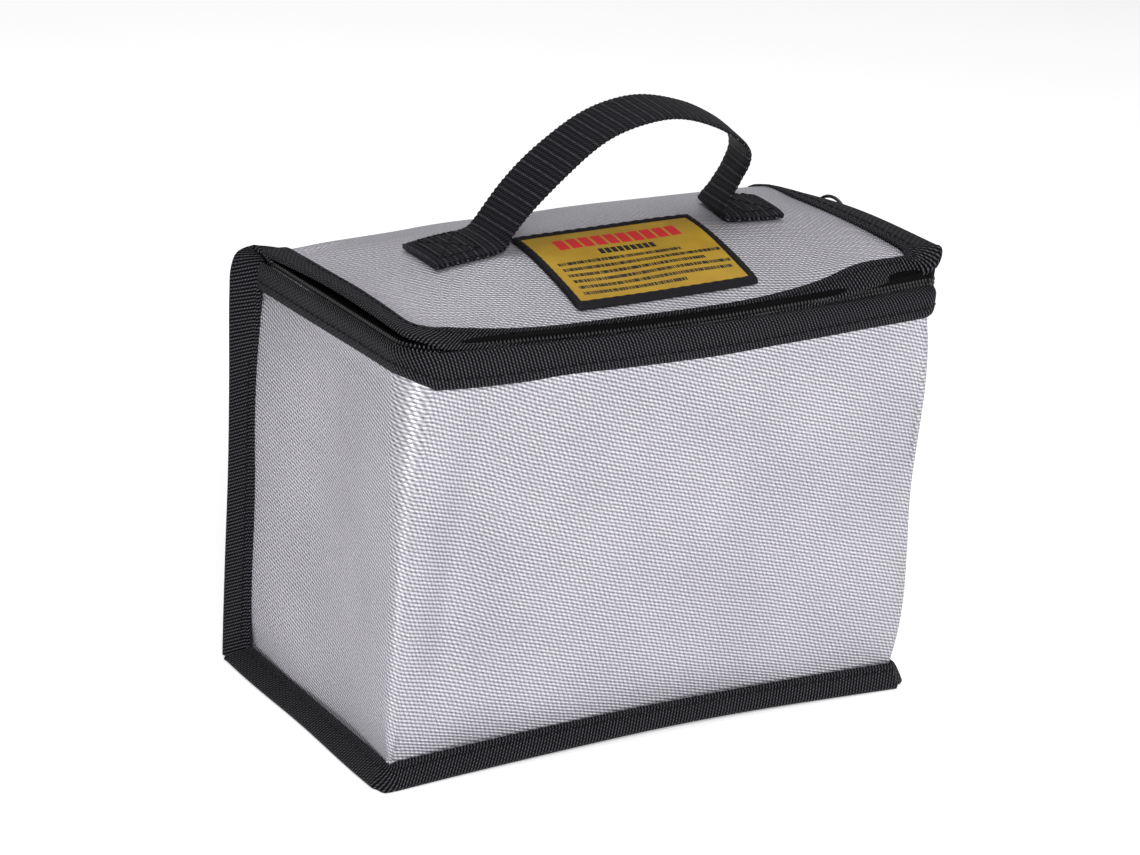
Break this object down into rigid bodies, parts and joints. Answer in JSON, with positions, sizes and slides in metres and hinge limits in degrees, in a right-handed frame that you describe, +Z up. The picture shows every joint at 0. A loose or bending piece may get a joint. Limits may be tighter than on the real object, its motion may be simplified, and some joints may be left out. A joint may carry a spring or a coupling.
{
  "type": "zipped battery safety bag",
  "caption": "Soft box-shaped fire-resistant battery bag with a zipped domed lid that hinges at the back, a webbing carry handle, bound edges and a sewn-on patch.",
  "frame": {"origin": "middle of the underside, on the ground", "axes": "+X along the long side to the bag's right-hand end, -Y to the front, +Z up"},
  "size_m": [0.226, 0.1253, 0.2127],
  "materials": {
    "silver_cloth": "satin woven glass cloth with a silver-grey fire-resistant coating",
    "lining_cloth": "pale uncoated glass cloth",
    "black_tape": "ribbed woven polyester tape",
    "black_webbing": "woven polypropylene webbing",
    "black_thread": "twisted polyester thread",
    "black_nylon": "moulded nylon zip teeth",
    "yellow_label": "woven label with printed blocks and dashes",
    "black_enamel": "black enamelled zinc and steel wire"
  },
  "bodies": {
    "bag": {"wrap_panel": "silver_cloth", "wrap_lining": "lining_cloth", "back_panel": "silver_cloth", "back_lining": "lining_cloth", "bottom_panel": "silver_cloth", "bottom_lining": "lining_cloth", "bottom_binding": "black_tape", "bottom_thread": "black_thread", "back_left_binding": "black_tape", "back_left_thread": "black_thread", "back_right_binding": "black_tape", "back_right_thread": "black_thread", "zipper_tape_lower": "black_tape", "rim_thread": "black_thread", "zipper_teeth_lower": "black_nylon"},
    "lid": {"zipper_teeth_upper": "black_nylon", "zipper_tape_upper": "black_tape", "lid_panel": "silver_cloth", "lid_lining": "lining_cloth", "lid_binding": "black_tape", "lid_thread": "black_thread", "label_patch": "yellow_label", "label_border": "black_thread", "handle_end_left": "black_webbing", "handle_end_right": "black_webbing", "handle_stitch_left": "black_thread", "handle_stitch_right": "black_thread"},
    "handle": {"handle_strap": "black_webbing"},
    "slider": {"slider_body": "black_enamel", "slider_bridge": "black_enamel"},
    "pull": {"pull_ring": "black_enamel"}
  },
  "joints": [
    {"name": "lid_hinge", "type": "hinge", "parent": "bag", "child": "lid", "pos_m": [0, 0.0582, 0.1552], "axis": [-1, 0, 0], "range_deg": [0, 180]},
    {"name": "handle_lean", "type": "hinge", "parent": "lid", "child": "handle", "pos_m": [0, 0.005, 0.184], "axis": [1, 0, 0], "range_deg": [-50, 50], "stiffness_Nm_per_rad": 0.03},
    {"name": "slider_travel", "type": "slide", "parent": "bag", "child": "slider", "axis": [0, -1, 0], "range_m": [-0.018, 0.06]},
    {"name": "pull_swing", "type": "hinge", "parent": "slider", "child": "pull", "pos_m": [0.11085, 0.0255, 0.1573], "axis": [0, 0, 1], "range_deg": [0, 165]}
  ]
}
